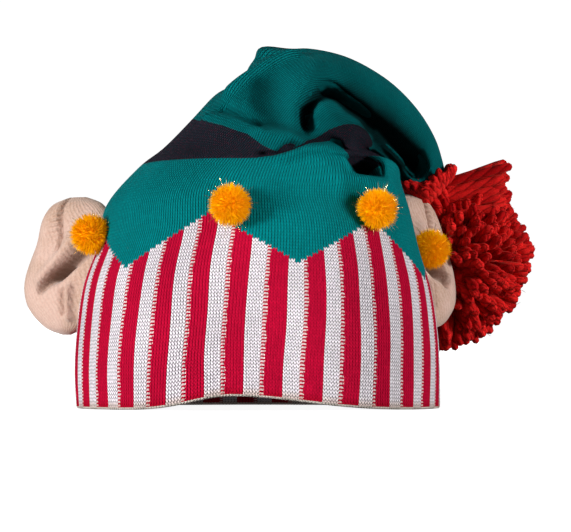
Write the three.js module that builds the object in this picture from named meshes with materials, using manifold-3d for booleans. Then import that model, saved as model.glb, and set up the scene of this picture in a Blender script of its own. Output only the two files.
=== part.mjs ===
// An elf hat. One knitted tube is open at the rim and closed at its tip, and its top
// flops over to the wearer's left. Two padded ears are sewn to its sides, six small
// bobbles sit on its pattern's points, and a large pompom hangs from the tip.
// Millimetres, +Z up, front at -Y, the wearer's left at +X.
import * as THREE from 'three';
import { mergeVertices } from 'three/addons/utils/BufferGeometryUtils.js';
import Module from 'manifold-3d';

const wasm = await Module();
wasm.setup();

// Driving dimensions
const rimWidth = 174;
const rimDepth = 190;
const hatHeight = 173;
const wall = 2.5;
const tipGather = 3.5;
const frontLift = 6.5;
const flopTurn = -10.3;
const seatGap = 0.3;

const earHeight = 66.5;
const earReach = 35;
const earThickness = 15;
const earFromRim = 35;
const earAngle = 100;
const earSweep = 40;

const bobbleSize = 20;
const bobbleSink = 3.5;

const pompomSize = 94;
const pompomLockWidth = 17;
const pompomSink = 3;

const named = (columns, rows) =>
  rows.map((row) => Object.fromEntries(columns.map((column, k) => [column, row[k]])));

// Sections of the tube from rim to tip. Each is an ellipse between an outer point, on
// the side away from the flop, and an inner point. outX and inX are shares of half the
// rim's width. outZ, inZ and arch are shares of the height, and arch lifts the section's
// front. deep is its half depth, and back its shift backward, in shares of half the
// rim's depth.
const sections = named(['outX', 'outZ', 'inX', 'inZ', 'deep', 'back', 'arch'], [
  [-1.000, 0.000, 1.000, 0.000, 1.000, 0.00, 0.000],
  [-1.011, 0.098, 1.000, 0.092, 1.011, 0.00, 0.023],
  [-1.000, 0.208, 0.989, 0.197, 1.000, 0.00, 0.035],
  [-0.966, 0.329, 0.954, 0.318, 0.968, 0.00, 0.046],
  [-0.885, 0.445, 0.885, 0.434, 0.916, 0.00, 0.046],
  [-0.839, 0.555, 0.828, 0.555, 0.842, 0.01, 0.035],
  [-0.667, 0.662, 0.759, 0.653, 0.758, 0.03, 0.006],
  [-0.523, 0.723, 0.678, 0.698, 0.695, 0.05, -0.017],
  [-0.379, 0.798, 0.629, 0.713, 0.653, 0.07, -0.029],
  [-0.241, 0.876, 0.612, 0.719, 0.611, 0.11, -0.040],
  [-0.086, 0.958, 0.615, 0.722, 0.568, 0.15, -0.035],
  [0.140, 1.009, 0.637, 0.717, 0.526, 0.20, -0.017],
  [0.437, 0.997, 0.678, 0.706, 0.474, 0.27, -0.006],
  [0.690, 0.940, 0.732, 0.685, 0.421, 0.36, 0.000],
  [0.879, 0.861, 0.790, 0.657, 0.347, 0.45, 0.000],
  [1.011, 0.766, 0.850, 0.624, 0.274, 0.55, 0.000],
  [1.080, 0.662, 0.897, 0.566, 0.158, 0.64, 0.000],
]);
const lastRow = sections.length - 1;

// Folds in the cloth, each a ridge or valley along a line on the tube. The line's ends
// are angles around the tube, in degrees from the front, and rows of the table above.
// width, height and roll are shares of the hat's height. roll draws the cloth along the
// surface, across the line.
const folds = named(['angle0', 'row0', 'angle1', 'row1', 'width', 'height', 'roll'], [
  [-22, 8.5, -2, 8.5, 0.110, 0.020, -0.024],
  [-16, 6.9, -6, 6.9, 0.054, -0.042, 0],
  [22, 6.8, 38, 6.8, 0.062, -0.043, 0],
  [44, 7.0, 48, 7.2, 0.064, -0.070, 0],
  [20, 5.9, 36, 6.0, 0.052, 0.020, 0.004],
  [62, 6.0, 82, 6.2, 0.046, 0.023, 0.010],
  [20, 8.8, 6, 10.4, 0.056, -0.047, 0],
  [8, 11.0, 18, 12.6, 0.052, -0.033, 0],
  [18, 12.6, 32, 15.0, 0.042, -0.030, 0],
  [-50, 9.2, -34, 11.4, 0.064, -0.029, 0],
  [-88, 9.4, -80, 11.5, 0.046, -0.023, 0],
  [-118, 9.8, -118, 11.0, 0.064, 0.029, 0],
]);
// Where the rim's front rises, in degrees around the tube and in rows up it.
const liftShape = { angle: -8, rightSpread: 17, leftSpread: 30, reach: 90, rows: 1.6 };

// The grid of the cloth is fine where it folds, in front, and coarse elsewhere.
const gridAngles = { from: [-65, 105, 295], steps: [34, 16] };
const gridRows = { from: [0, 5, 9.8, lastRow], steps: [5, 16, 9] };

// A fold fades out over this many rows above and below its line.
const foldRowReach = 2;

// The hat's side is steep up to this row, where its shoulder starts.
const shoulderRow = 6;

// How finely places are found, balls are faceted and shared corners are welded.
const halvings = 24;
const ballDetail = 2;
const weldReach = 1e-4;

// The ears' sections from the lobe up. from and to are the edges outward from the seam,
// in shares of the reach, thick is a share of the thickness, and at one of the height.
const earSections = named(['at', 'from', 'to', 'thick'], [
  [0.000, 0.10, 0.22, 0.25],
  [0.040, -0.05, 0.46, 0.70],
  [0.110, -0.20, 0.66, 0.93],
  [0.200, -0.25, 0.83, 1.00],
  [0.310, -0.28, 0.94, 1.00],
  [0.430, -0.28, 1.00, 0.96],
  [0.560, -0.28, 1.02, 0.93],
  [0.690, -0.25, 1.00, 0.90],
  [0.800, -0.20, 0.98, 0.87],
  [0.890, -0.05, 0.94, 0.80],
  [0.955, 0.14, 0.89, 0.62],
  [1.000, 0.44, 0.72, 0.22],
]);

// Folds in the ears' front, as lines from (from0, at0) to (from1, at1), in the same
// shares, with width and height in shares of the reach.
const earFolds = named(['out0', 'at0', 'out1', 'at1', 'width', 'height'], [
  [0.42, 0.72, 0.78, 0.44, 0.16, 0.07],
  [0.22, 0.61, 0.72, 0.34, 0.14, -0.13],
  [0.88, 0.80, 0.94, 0.56, 0.12, 0.05],
]);
const earSteps = { around: 20, up: 13 };

// Each bobble's angle around the hat, from the front, and its row on the tube.
const bobbles = named(['angle', 'row'], [
  [-82, 4.05],
  [-19, 4.35],
  [33, 4.4],
  [83, 4.0],
  [150, 4.3],
  [-150, 4.3],
]);
const bobbleRoughness = 0.13;

// The pompom's locks, with their shares of its radius: the core under them, and each
// lock's start, length and unevenness. The tuft's locks are longer by tuft at most.
const pompomLocks = 84;
const pompomShares = { core: 0.84, start: 0.46, length: 0.5, uneven: 0.04, tuft: 0.3 };
const pompomLockTaper = 0.7;
const pompomTuftTightness = 8;
const pompomHang = new THREE.Vector3(10, 31, -33).normalize();
const pompomTuft = new THREE.Vector3(0.55, 0, 0.83);

const colours = {
  knit: 0x00786f,
  ear: 0xd9bfa6,
  bobble: 0xe79a12,
  pompom: 0xa8101c,
};

const goldenTurn = Math.PI * (3 - Math.sqrt(5));
const radians = THREE.MathUtils.degToRad;
const bell = (distance, width) => Math.exp(-((distance / width) ** 2));
const turnWithin = (angle) => THREE.MathUtils.euclideanModulo(angle + Math.PI, 2 * Math.PI) - Math.PI;

// Smooth curve through one column of a table.
function curveThrough(rows, column, at) {
  const last = rows.length - 1;
  const low = THREE.MathUtils.clamp(Math.floor(at), 0, last - 1);
  const value = (k) => rows[THREE.MathUtils.clamp(k, 0, last)][column];
  const [a, b, c, d] = [value(low - 1), value(low), value(low + 1), value(low + 2)];
  const f = at - low;
  const cubic = -a + 3 * b - 3 * c + d;
  const square = 2 * a - 5 * b + 4 * c - d;
  return 0.5 * (2 * b + (c - a) * f + square * f * f + cubic * f ** 3);
}

function sectionAt(row) {
  const share = (column) => curveThrough(sections, column, row);
  return {
    outX: share('outX') * rimWidth / 2,
    inX: share('inX') * rimWidth / 2,
    outZ: share('outZ') * hatHeight,
    inZ: share('inZ') * hatHeight,
    deep: share('deep') * rimDepth / 2,
    back: share('back') * rimDepth / 2,
    arch: share('arch') * hatHeight,
  };
}

// The rim rises over the forehead, most a little to the wearer's right of the middle.
function rimLift(angle, row) {
  const away = THREE.MathUtils.radToDeg(turnWithin(angle)) - liftShape.angle;
  if (Math.abs(away) > liftShape.reach) return 0;
  const spread = away < 0 ? liftShape.rightSpread : liftShape.leftSpread;
  return frontLift * bell(away, spread) * bell(row, liftShape.rows);
}

function smoothPoint(angle, row) {
  const { outX, outZ, inX, inZ, deep, back, arch } = sectionAt(row);
  const side = Math.sin(angle);
  const front = Math.cos(angle);
  return new THREE.Vector3(
    (outX + inX) / 2 + side * (inX - outX) / 2,
    back - deep * front,
    (outZ + inZ) / 2 + side * (inZ - outZ) / 2 + arch * front + rimLift(angle, row),
  );
}

// Unit directions at a point of a surface: around it, up it and out of it.
function directionsOn(surface, angle, row) {
  const step = 0.01;
  const low = Math.max(row - step, 0);
  const high = Math.min(row + step, lastRow);
  const around = surface(angle + step, row).sub(surface(angle - step, row)).normalize();
  const up = surface(angle, high).sub(surface(angle, low)).normalize();
  const out = around.clone().cross(up).normalize();
  return { around, up, out };
}

const foldLines = folds.map((fold) => new THREE.Line3(
  smoothPoint(radians(fold.angle0), fold.row0),
  smoothPoint(radians(fold.angle1), fold.row1),
));

function clothPoint(angle, row) {
  const { out } = directionsOn(smoothPoint, angle, row);
  const flat = smoothPoint(angle, row);
  const point = flat.clone();
  const nearest = new THREE.Vector3();
  const across = new THREE.Vector3();
  folds.forEach((fold, k) => {
    foldLines[k].closestPointToPoint(flat, true, nearest);
    const rowsAway = row - THREE.MathUtils.clamp(row, fold.row0, fold.row1);
    const fade = hatHeight * bell(rowsAway, foldRowReach);
    const strength = fade * bell(flat.distanceTo(nearest), fold.width * hatHeight);
    foldLines[k].delta(across).crossVectors(out, across).normalize();
    point.addScaledVector(out, fold.height * strength);
    point.addScaledVector(across, fold.roll * strength);
  });
  return point;
}

// Values that step evenly between the chosen ones.
function spaced({ from, steps }) {
  const values = [from[0]];
  steps.forEach((count, part) => {
    for (let k = 1; k <= count; k += 1) {
      values.push(THREE.MathUtils.lerp(from[part], from[part + 1], k / count));
    }
  });
  return values;
}

const meanPoint = (points) =>
  points.reduce((sum, point) => sum.add(point), new THREE.Vector3()).divideScalar(points.length);

// Rings of points from the rim to a last row, each a way around the cloth, set out
// from it. The way out is halfway between the folded cloth's and the smooth tube's.
function clothRings(offset, endRow) {
  const angles = spaced(gridAngles).slice(0, -1).map(radians);
  return spaced(gridRows).map((step) => Math.min(step, endRow)).map((row) => angles.map((angle) => {
    const point = clothPoint(angle, row);
    const level = point.z;
    const out = directionsOn(clothPoint, angle, row).out;
    out.add(directionsOn(smoothPoint, angle, row).out).normalize();
    point.addScaledVector(out, offset);
    if (row === 0) point.z = level;
    return point;
  }));
}

// Triangles between neighbouring rings, which face out where the rings run up.
function skinRings(triangles, rings) {
  for (let j = 0; j + 1 < rings.length; j += 1) {
    const low = rings[j];
    const high = rings[j + 1];
    low.forEach((corner, i) => {
      const next = (i + 1) % low.length;
      triangles.push(corner, low[next], high[next], corner, high[next], high[i]);
    });
  }
}

// Triangles that close a ring at its mean point, facing the way the rings run.
function closeRing(triangles, ring) {
  const middle = meanPoint(ring);
  ring.forEach((corner, i) => triangles.push(corner, ring[(i + 1) % ring.length], middle));
}

// A geometry with nothing but its positions, and each shared corner once.
function welded(geometry) {
  const bare = geometry.clone();
  bare.deleteAttribute('normal');
  bare.deleteAttribute('uv');
  return mergeVertices(bare, weldReach);
}

const geometryFrom = (triangles) => welded(new THREE.BufferGeometry().setFromPoints(triangles));

// A closed geometry from rings that run up, with both its ends closed.
function stackGeometry(rings) {
  const triangles = [];
  skinRings(triangles, rings);
  closeRing(triangles, rings.at(-1));
  const underside = [];
  closeRing(underside, rings[0]);
  return geometryFrom([...triangles, ...underside.reverse()]);
}

// The knitted tube: outer skin, flat rim, inner skin, and a tip that is gathered shut.
function knitGeometry() {
  const outer = clothRings(0, lastRow);
  const lastStep = smoothPoint(0, lastRow).distanceTo(smoothPoint(0, lastRow - 1));
  const inner = clothRings(-wall, lastRow - tipGather * wall / lastStep);
  const triangles = [];
  skinRings(triangles, [inner[0], ...outer]);
  closeRing(triangles, outer.at(-1));
  const lining = [];
  skinRings(lining, inner);
  closeRing(lining, inner.at(-1));
  return geometryFrom([...triangles, ...lining.reverse()]);
}

function solidOf(geometry) {
  const { attributes, index } = welded(geometry);
  return new wasm.Manifold(new wasm.Mesh({
    numProp: 3,
    vertProperties: attributes.position.array,
    triVerts: Uint32Array.from(index.array),
  }));
}

function geometryOf(solid) {
  const { vertProperties, triVerts } = solid.getMesh();
  const geometry = new THREE.BufferGeometry();
  geometry.setAttribute('position', new THREE.BufferAttribute(vertProperties, 3));
  geometry.setIndex(new THREE.BufferAttribute(triVerts, 1));
  return geometry;
}

// The hat's whole outer form, a seat gap larger, which the sewn-on pieces are cut by.
function seatSolid() {
  const rings = clothRings(seatGap, lastRow);
  const endWay = meanPoint(rings.at(-1)).sub(meanPoint(rings.at(-2))).normalize();
  rings.at(-1).forEach((corner) => corner.addScaledVector(endWay, 2 * seatGap));
  return solidOf(stackGeometry(rings));
}

// The row below the shoulder at which the cloth reaches a height, by halving.
function rowAtHeight(angle, height) {
  let low = 0;
  let high = shoulderRow;
  for (let k = 0; k < halvings; k += 1) {
    const middle = (low + high) / 2;
    if (clothPoint(angle, middle).z < height) low = middle;
    else high = middle;
  }
  return (low + high) / 2;
}

// How far an ear's front stands out at a place, from its folds.
function earFoldAt(out, at) {
  const point = new THREE.Vector2(out * earReach, at * earHeight);
  return earFolds.reduce((sum, fold) => {
    const start = new THREE.Vector2(fold.out0 * earReach, fold.at0 * earHeight);
    const line = new THREE.Vector2(fold.out1 * earReach, fold.at1 * earHeight).sub(start);
    const along = point.clone().sub(start).dot(line) / line.lengthSq();
    const nearest = start.addScaledVector(line, THREE.MathUtils.clamp(along, 0, 1));
    const strength = bell(point.distanceTo(nearest), fold.width * earReach);
    return sum + fold.height * earReach * strength;
  }, 0);
}

// One padded ear, a stack of sections that follows the seam up the hat's side.
// side is 1 at the wearer's left and -1 at the right, and extra grows it all around.
function earSolid(side, extra) {
  const seamAngle = radians(side * earAngle - flopTurn);
  const sweep = radians(side * earSweep - flopTurn);
  const outward = new THREE.Vector3(side * Math.cos(sweep), side * Math.sin(sweep), 0);
  const forward = new THREE.Vector3(Math.sin(sweep), -Math.cos(sweep), 0);
  const rings = [];
  for (let j = 0; j <= earSteps.up; j += 1) {
    const index = j / earSteps.up * (earSections.length - 1);
    const at = curveThrough(earSections, 'at', index);
    const from = curveThrough(earSections, 'from', index);
    const to = curveThrough(earSections, 'to', index);
    const thick = curveThrough(earSections, 'thick', index);
    const height = earFromRim + at * earHeight;
    const seam = clothPoint(seamAngle, rowAtHeight(seamAngle, height));
    seam.z += extra * (2 * j / earSteps.up - 1);
    rings.push(Array.from({ length: earSteps.around }, (_, i) => {
      const turn = i / earSteps.around * 2 * Math.PI;
      const out = (from + to) / 2 + (to - from) / 2 * Math.cos(turn);
      const bulge = -side * Math.sin(turn);
      const fold = Math.max(bulge, 0) * earFoldAt(out, at);
      return seam.clone()
        .addScaledVector(outward, out * earReach + extra * Math.cos(turn))
        .addScaledVector(forward, bulge * (thick * earThickness / 2 + extra) + fold);
    }));
  }
  return solidOf(stackGeometry(rings));
}

// Directions spread evenly over a ball, along a spiral from top to bottom.
function spreadDirections(count) {
  return Array.from({ length: count }, (_, k) => {
    const level = 1 - (2 * k + 1) / count;
    const reach = Math.sqrt(1 - level * level);
    return new THREE.Vector3(reach * Math.cos(goldenTurn * k), reach * Math.sin(goldenTurn * k), level);
  });
}

// A small fluffy ball, rough all over, sewn to the cloth.
function bobbleSolid(angle, row) {
  const turned = radians(angle - flopTurn);
  const { out } = directionsOn(clothPoint, turned, row);
  const centre = clothPoint(turned, row).addScaledVector(out, bobbleSize / 2 - bobbleSink);
  const ball = welded(new THREE.IcosahedronGeometry(bobbleSize / 2, ballDetail));
  const { position } = ball.attributes;
  for (let k = 0; k < position.count; k += 1) {
    const reach = 1 - bobbleRoughness * (1 + Math.sin(k * goldenTurn)) / 2;
    position.setXYZ(k, position.getX(k) * reach, position.getY(k) * reach, position.getZ(k) * reach);
  }
  return solidOf(ball).translate(centre.toArray());
}

// The pompom: a core with tapered locks of yarn fused to it all around, which hangs
// from the tip and gives way where it leans on the ear beside it.
function pompomSolid() {
  const radius = pompomSize / 2;
  const tip = meanPoint(clothRings(0, lastRow).at(-1));
  const centre = tip.addScaledVector(pompomHang, radius - pompomSink);
  const share = pompomShares;
  const core = solidOf(new THREE.IcosahedronGeometry(radius * share.core, ballDetail));
  const foot = pompomLockWidth / 2;
  const up = new THREE.Vector3(0, 1, 0);
  const locks = spreadDirections(pompomLocks).map((direction, k) => {
    const tuft = share.tuft * Math.max(direction.dot(pompomTuft), 0) ** pompomTuftTightness;
    const length = radius * (share.length + share.uneven * Math.sin(k * goldenTurn) + tuft);
    const lock = new THREE.CylinderGeometry(foot * pompomLockTaper, foot, length, 3, 1);
    lock.rotateY(k).translate(0, radius * share.start + length / 2, 0);
    lock.applyQuaternion(new THREE.Quaternion().setFromUnitVectors(up, direction));
    return solidOf(lock);
  });
  const ball = locks.reduce((whole, each) => whole.add(each), core);
  return ball.translate(centre.toArray()).subtract(earSolid(1, seatGap));
}

// The largest of a solid's pieces, without the slivers that a cut can leave.
function largestOf(solid) {
  const pieces = solid.decompose();
  return pieces.reduce((best, piece) => (piece.volume() > best.volume() ? piece : best));
}

function sewnMesh(name, solid, seat, colour) {
  const material = new THREE.MeshStandardMaterial({ color: colour, roughness: 0.95, metalness: 0 });
  const mesh = new THREE.Mesh(geometryOf(largestOf(solid.subtract(seat))), material);
  mesh.name = name;
  return mesh;
}

function knitMesh() {
  const material = new THREE.MeshStandardMaterial({ color: colours.knit, roughness: 0.9, metalness: 0 });
  const mesh = new THREE.Mesh(knitGeometry(), material);
  mesh.name = 'knit_body';
  return mesh;
}

function buildHat() {
  const flop = new THREE.Group();
  const seat = seatSolid();
  const ears = { ear_right: earSolid(-1, 0), ear_left: earSolid(1, 0) };
  flop.add(knitMesh());
  for (const [name, solid] of Object.entries(ears)) {
    flop.add(sewnMesh(name, solid, seat, colours.ear));
  }
  bobbles.forEach(({ angle, row }, k) => {
    flop.add(sewnMesh(`bobble_${k + 1}`, bobbleSolid(angle, row), seat, colours.bobble));
  });
  flop.add(sewnMesh('pompom', pompomSolid(), seat, colours.pompom));
  flop.rotation.z = radians(flopTurn);
  const hat = new THREE.Group();
  hat.add(flop);
  return hat;
}

// The origin stands under the middle of the whole hat, level with the rim.
function standOnOrigin(hat) {
  hat.updateMatrixWorld(true);
  const box = new THREE.Box3().setFromObject(hat, true);
  const centre = box.getCenter(new THREE.Vector3());
  hat.position.set(-centre.x, -centre.y, -box.min.z);
  return hat;
}

export default standOnOrigin(buildHat());
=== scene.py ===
"""An elf hat: a striped knitted tube whose top flops over to the wearer's left, with a
pompom of yarn at its tip, two padded plush ears and six fluffy bobbles.

Forms are made in millimetres in the hat's own frame, where the top flops towards +X,
and are turned and shifted into the part's frame as each mesh is made.
"""
import math

import bpy
import numpy as np
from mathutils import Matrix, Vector
from mathutils.bvhtree import BVHTree


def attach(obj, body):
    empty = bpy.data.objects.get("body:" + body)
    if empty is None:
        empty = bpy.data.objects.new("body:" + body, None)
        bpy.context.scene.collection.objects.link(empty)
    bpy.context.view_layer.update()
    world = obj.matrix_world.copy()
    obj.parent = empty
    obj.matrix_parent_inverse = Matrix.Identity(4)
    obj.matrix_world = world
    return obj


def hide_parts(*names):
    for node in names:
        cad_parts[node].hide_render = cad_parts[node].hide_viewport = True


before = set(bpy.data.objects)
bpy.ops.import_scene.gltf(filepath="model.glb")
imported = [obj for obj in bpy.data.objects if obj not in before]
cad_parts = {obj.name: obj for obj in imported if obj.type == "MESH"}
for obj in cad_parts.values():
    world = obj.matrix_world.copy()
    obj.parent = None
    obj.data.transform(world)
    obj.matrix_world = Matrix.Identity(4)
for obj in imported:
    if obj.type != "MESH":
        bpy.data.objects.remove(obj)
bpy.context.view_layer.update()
chance = np.random.default_rng(7)

# Sizes of the part
RIM_WIDTH = 174
RIM_DEPTH = 190
HAT_HEIGHT = 173
WALL = 2.5
FRONT_LIFT = 6.5
FLOP_TURN = -10.3
ORIGIN_SHIFT = (-23.047, -9.767, 0)
EAR_HEIGHT = 66.5
EAR_REACH = 35
EAR_THICKNESS = 15
EAR_FROM_RIM = 35
EAR_ANGLE = 100
EAR_SWEEP = 40
LEFT_EAR_RISE = 3
LEFT_EAR_TAPER = 0.16
BOBBLE_SIZE = 20
BOBBLE_SINK = 3.5
BOBBLE_CORE_STRANDS = 60
FLUFF = {"count": 3000, "reach": (0.78, 1.06), "thick": 0.18, "bend": 1.8}
GLINTS = {"count": 60, "reach": (1.12, 1.40), "thick": 0.12, "bend": 0.8}
POMPOM_SIZE = 94
POMPOM_SINK = 3
POMPOM_HANG = np.array([10, 31, -33])
POMPOM_FLAT = np.array([0.75, 0, -0.65])
POMPOM_STRANDS = 1050
POMPOM_CORE_STRANDS = 160
POMPOM_HAIRS = 5600
YARN_SIDES = 7
YARN_SPARE = 3.2
COLLAR_STRANDS = 60
# How many rows of the tube's end are under yarn, by angle.
COLLAR_ROWS = ([0, 30, 60, 110, 150, 200, 280, 330], [0.75, 1.1, 1.6, 1.9, 1.2, 0.5, 0.3, 0.5])
# A tuft of loose strands: their number, first start, the spread of starts, their way and its fan.
TUFT = {
    "strands": 52, "start": np.array([-6, -8, 20]), "across": np.array([2, 16, 0]),
    "up": np.array([2, 2, 17]), "way": np.array([37, -2, 2]), "fan": np.array([-3, 0, 9]),
}

# Sections of the tube from rim to tip: outX outZ inX inZ deep back arch, in shares.
SECTIONS = np.array([
    [-1.000, 0.000, 1.000, 0.000, 1.000, 0.00, 0.000],
    [-1.011, 0.098, 1.000, 0.092, 1.011, 0.00, 0.023],
    [-1.000, 0.208, 0.989, 0.197, 1.000, 0.00, 0.035],
    [-0.966, 0.329, 0.954, 0.318, 0.968, 0.00, 0.046],
    [-0.885, 0.445, 0.885, 0.434, 0.916, 0.00, 0.046],
    [-0.839, 0.555, 0.828, 0.555, 0.842, 0.01, 0.035],
    [-0.667, 0.662, 0.759, 0.653, 0.758, 0.03, 0.006],
    [-0.523, 0.723, 0.678, 0.698, 0.695, 0.05, -0.017],
    [-0.379, 0.798, 0.629, 0.713, 0.653, 0.07, -0.029],
    [-0.241, 0.876, 0.612, 0.719, 0.611, 0.11, -0.040],
    [-0.086, 0.958, 0.615, 0.722, 0.568, 0.15, -0.035],
    [0.140, 1.009, 0.637, 0.717, 0.526, 0.20, -0.017],
    [0.437, 0.997, 0.678, 0.706, 0.474, 0.27, -0.006],
    [0.690, 0.940, 0.732, 0.685, 0.421, 0.36, 0.000],
    [0.879, 0.861, 0.790, 0.657, 0.347, 0.45, 0.000],
    [1.011, 0.766, 0.850, 0.624, 0.274, 0.55, 0.000],
    [1.080, 0.662, 0.897, 0.566, 0.158, 0.64, 0.000],
])
SHARES_OF = np.array([RIM_WIDTH / 2, HAT_HEIGHT, RIM_WIDTH / 2, HAT_HEIGHT,
                      RIM_DEPTH / 2, RIM_DEPTH / 2, HAT_HEIGHT])
LAST_ROW = len(SECTIONS) - 1

# Folds: width height roll sink in millimetres, and the angles and rows that they run through.
FOLDS = [
    # The rounded lip in front, and the crease above it
    [4.5, 0, 0, -6, (6, 6.3), (17, 7.1), (30, 7.4), (38, 6.9)],
    [2.4, 0, 0, 8, (-4, 6.5), (2, 6.5), (8, 7.1), (17, 8.0), (23, 8.7), (30, 9.1), (37, 9.0), (41, 8.3)],
    # The cloth below the pocket and to its right
    [6, 3, 0, 0, (34, 5.2), (60, 5.2)],
    [5, 2, 0, -5, (62, 6.2), (90, 6.1)],
    # The cloth behind the lip, and the lobe above it
    [7.5, 4, -4, -2, (-8, 8.3), (5, 8.1)],
    [8, 0, 0, -8, (5, 10.5), (33, 10.5)],
    [5, 2, 0, -3, (30, 11.2), (48, 11.0), (66, 10.6)],
    # The dent, and the long valley below the flopped tube
    [3.8, 0, 0, 22, (-9, 11.1), (-6, 10.6), (-2, 10.1), (5, 9.6)],
    [4.9, 0, 0, 25, (-6, 11.3), (6, 11.5), (23, 12.1), (28, 13.05), (24, 14.25), (20, 15.0)],
    [8, 0, 0, 6, (-18, 12.0), (-6, 13.2), (-6, 14.6)],
    # A strip of cloth in the valley, and the crease beside it
    [2.6, 0, 0, -5, (31, 12.3), (43, 12.9), (44, 14.1)],
    [2.2, 0, 0, 6, (46, 11.9), (57, 12.6), (56, 13.75), (66, 14.5)],
    # The ridge down the middle, and the hollow to its left
    [6.5, 0, 0, -5, (-43, 11.4), (-15, 10.45), (-4, 9.7), (5, 8.4)],
    [10, 0, 0, 12, (-40, 10.0), (-27, 9.5), (-14, 8.9)],
    # The rolled edge above the band, and the crest at the left
    [2.8, 2, 0, -2.5, (-60, 8.25), (-14, 8.1)],
    [2.8, -3, 0, 3, (-54, 8.8), (-22, 8.7)],
    [4.5, 3, 0, -2, (-62, 9.3), (-56, 11.0)],
    # The small hollow under the ridge
    [3, 0, 0, 9, (7, 9.2), (9, 8.5)],
    # The outline at the left, and the bump behind the top
    [8, -6, 0, 0, (-114, 9.6), (-78, 9.7)],
    [6, 4.5, -3.5, 0, (-114, 10.6), (-94, 10.7)],
    [5, -6, 0, 0, (-82, 10.6), (-72, 11.2)],
    [5, 0, 0, 10, (-98, 10.4), (-88, 11.1)],
    # The slack cloth above the collar
    [9, -3.5, 0, 0, (14, 4.9), (40, 4.9)],
]
# The pocket: its angle and spread, its row and spread, and the shift in millimetres.
PUSHES = [
    [48, 9.2, 6.2, 0.55, (0, 30, -2)],
]
# Painted shade on cloth in the shade of the fold beside it, which moves no point: width and depth in
# millimetres, and its places.
PAINTED_SHADES = [
    [9, 13, (-4, 11.75), (8, 12.35), (13, 13.0), (19, 13.65), (23, 14.6)],
]
LIFT = {"angle": -8, "right": 17, "left": 30, "reach": 90, "rows": 1.6}
FOLD_ROW_REACH = 2
# Depth in the folds, in millimetres, at which the painted shade is full.
FULL_FOLD_SHADE_DEPTH = 24

# The knit: wales around the rim, the height of a course, and its coloured pattern.
WALES = 360
COURSE = 1.6
TWIST = 3.0
STRIPE_OFFSET = 4.3
ZIGZAG_HEIGHT = 24
ZIGZAG_LOW = 5
ZIGZAG_ROW = 3.35
BAND_ROWS = (6.0, 8.0)
CROWN_FINER = 1.15
TWIST_ROWS = 4
GIRTH_STEPS = 8
STRIPE_WALES = 12
RED_WALES = 7
STRIPE_START = 4
ZIGZAG_WALES = 60
KNIT_COLUMNS = 420
KNIT_RINGS = 180
LINING_RINGS = 48
LINING_SHORT = 10
HEM_RINGS = 7
# Where the band's edges run in the folds: angle, lower row and upper row.
BAND_EDGES = np.array([
    [-40, 6.0, 8.0], [-20, 6.0, 7.8], [-12, 6.0, 7.5], [-5, 6.05, 7.1], [2, 6.35, 6.7],
    [10, 7.0, 7.06], [14, 7.45, 7.6], [17, 7.8, 8.6], [22, 8.4, 9.7], [27.5, 9.0, 10.5],
    [31.5, 9.2, 11.0], [34.5, 9.2, 11.5], [37.5, 9.0, 11.6], [40, 8.6, 11.6], [41.3, 6.8, 11.6],
    [42.5, 5.85, 11.6], [50, 5.85, 11.6], [55, 6.1, 11.4], [58, 6.4, 11.2], [63, 6.4, 10.4],
    [80, 6.2, 9.0], [120, 6.0, 8.0],
])
FREE_ROWS = (5.2, 15)

# Sections of an ear from bottom to top: height, start, end and thickness, in shares.
EAR_SECTIONS = np.array([
    [0.000, 0.10, 0.22, 0.25],
    [0.040, -0.05, 0.46, 0.70],
    [0.110, -0.20, 0.66, 0.93],
    [0.200, -0.25, 0.83, 1.00],
    [0.310, -0.28, 0.94, 1.00],
    [0.430, -0.28, 1.00, 0.96],
    [0.560, -0.28, 1.02, 0.93],
    [0.690, -0.25, 1.00, 0.90],
    [0.800, -0.20, 0.98, 0.87],
    [0.890, -0.05, 0.94, 0.80],
    [0.955, 0.14, 0.89, 0.62],
    [1.000, 0.44, 0.72, 0.22],
])
# Folds in the ears' front: width and height, and the places it runs through, in shares.
EAR_FOLDS = [
    [0.12, 0.10, (0.24, 0.74), (0.40, 0.60), (0.60, 0.42)],
    [0.085, -0.24, (0.00, 0.66), (0.20, 0.52), (0.36, 0.42)],
    [0.06, -0.15, (0.30, 0.46), (0.56, 0.33)],
    [0.035, -0.10, (0.70, 0.99), (0.58, 0.84), (0.52, 0.72), (0.52, 0.62)],
    [0.14, 0.06, (0.88, 0.86), (0.80, 0.45)],
    [0.05, 0.09, (0.10, 0.34), (0.02, 0.12)],
    [0.04, -0.07, (0.20, 0.32), (0.12, 0.16)],
]
# Depth in the ears' folds, in millimetres, at which their painted shade is full.
EAR_FULL_FOLD_SHADE_DEPTH = 6
EAR_GATHERS = {"out": 0.66, "spread": 0.09, "at": 0.80, "reach": 0.13, "apart": 2.6, "depth": 0.8}
EAR_POINTS = 150
RIB = 1.5
# The bobbles' angles and rows.
BOBBLES = [(-82, 4.05), (-19, 4.35), (33, 4.4), (83, 4.0), (150, 4.3), (-150, 4.3)]

# The camera, in millimetres of the hat's own frame, and the lights: place, power and size.
CAMERA_PLACE = (0, -1500, 25)
CAMERA_TARGET = (13, 0, 68)
CAMERA_FILM = 36
SEEN_WIDTH = 0.274
CAMERA_DISTANCE = 1.5
LIGHT_TARGET = (-0.02, 0, 0.08)
KEY_LIGHT = ((-1.3, -0.75, 0.25), 29, 0.3)
FILL_LIGHT = ((1.2, -0.9, 0.38), 21, 0.4)
BACK_LIGHT = ((0.4, 1.6, 0.5), 16, 1.2)
SKY = {"From Min": -0.7, "From Max": 0.9, "To Min": 0.10, "To Max": 0.17}

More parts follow.
